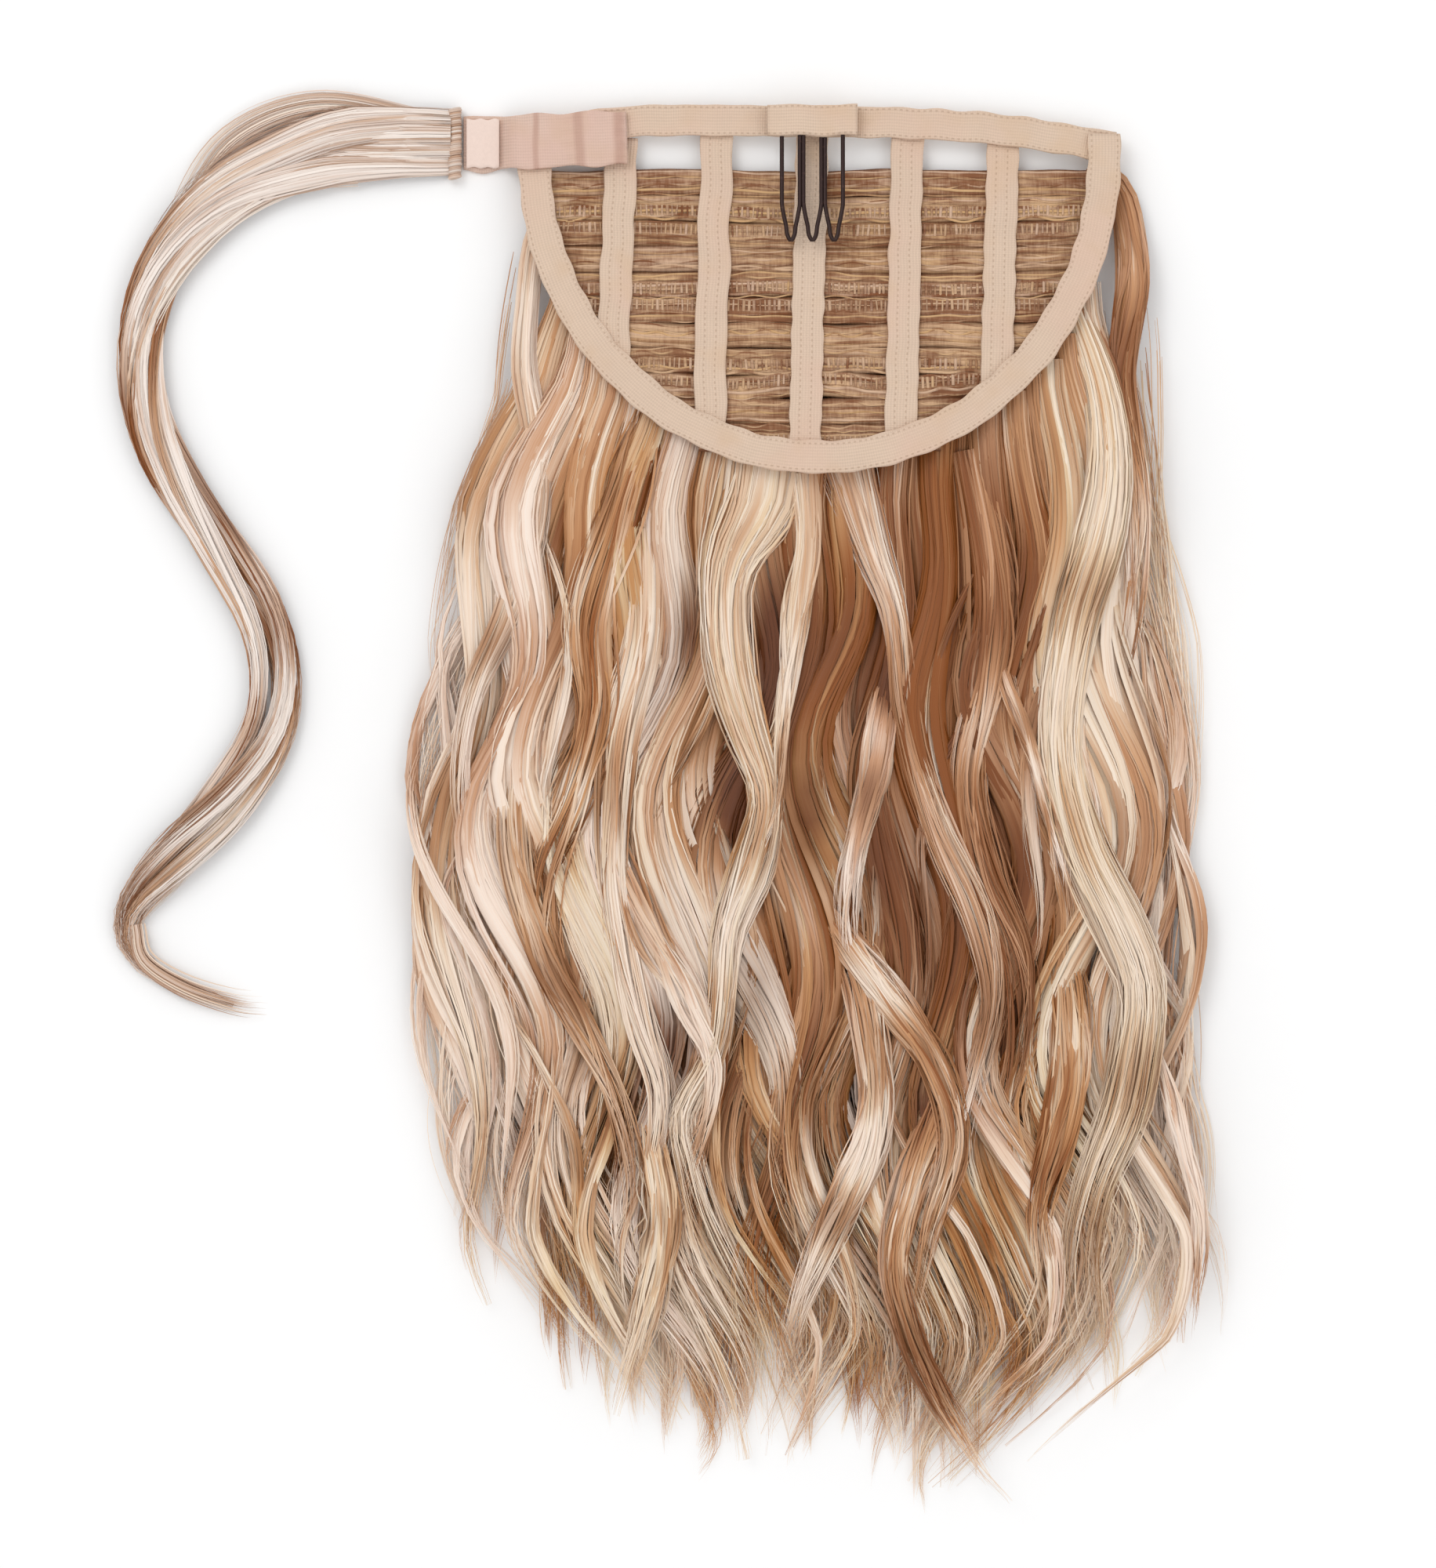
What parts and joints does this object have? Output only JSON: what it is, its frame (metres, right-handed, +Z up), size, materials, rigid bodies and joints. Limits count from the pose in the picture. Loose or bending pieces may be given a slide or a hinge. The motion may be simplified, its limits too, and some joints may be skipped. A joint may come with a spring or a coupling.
{
  "type": "wrap-around ponytail hairpiece",
  "caption": "Long wavy ponytail hairpiece lying lining side up, with a half-oval cap of tape, sewn wefts, a wire comb, a closure tab and a strand that wraps round the ponytail.",
  "frame": {"origin": "under the middle of the whole piece's outline, on the surface that it lies on", "axes": "+X along the elastic band away from the closure tab, +Y from the hair's tips towards the band, +Z up off the surface, so the cap's lining faces +Z"},
  "size_m": [0.2792, 0.3574, 0.0211],
  "materials": {
    "cap_tape": "woven elastic tape",
    "tab_cloth": "soft knitted cloth",
    "hook_cloth": "fine hook tape",
    "comb_wire": "dark coated wire",
    "weft_hair": "sewn hair weft",
    "fall_hair": "blended brown and blonde hair",
    "wrap_hair": "ash to brown streaked hair"
  },
  "bodies": {
    "root": {"top_band": "cap_tape", "rim_tape": "cap_tape", "strap_1": "cap_tape", "strap_2": "cap_tape", "strap_3": "cap_tape", "strap_4": "cap_tape", "strap_5": "cap_tape", "weft_row_01": "weft_hair", "weft_row_02": "weft_hair", "weft_row_03": "weft_hair", "weft_row_04": "weft_hair", "weft_row_05": "weft_hair", "weft_row_06": "weft_hair", "weft_row_07": "weft_hair", "weft_row_08": "weft_hair", "weft_row_09": "weft_hair", "weft_row_10": "weft_hair", "weft_row_11": "weft_hair", "comb": "comb_wire", "comb_sleeve": "cap_tape", "closure_tab": "tab_cloth", "hook_strip": "hook_cloth", "wrap_seam": "wrap_hair", "wrap_strand": "wrap_hair", "hair_outer_layer": "fall_hair", "hair_middle_layer": "fall_hair", "hair_inner_layer": "fall_hair"}
  },
  "joints": []
}
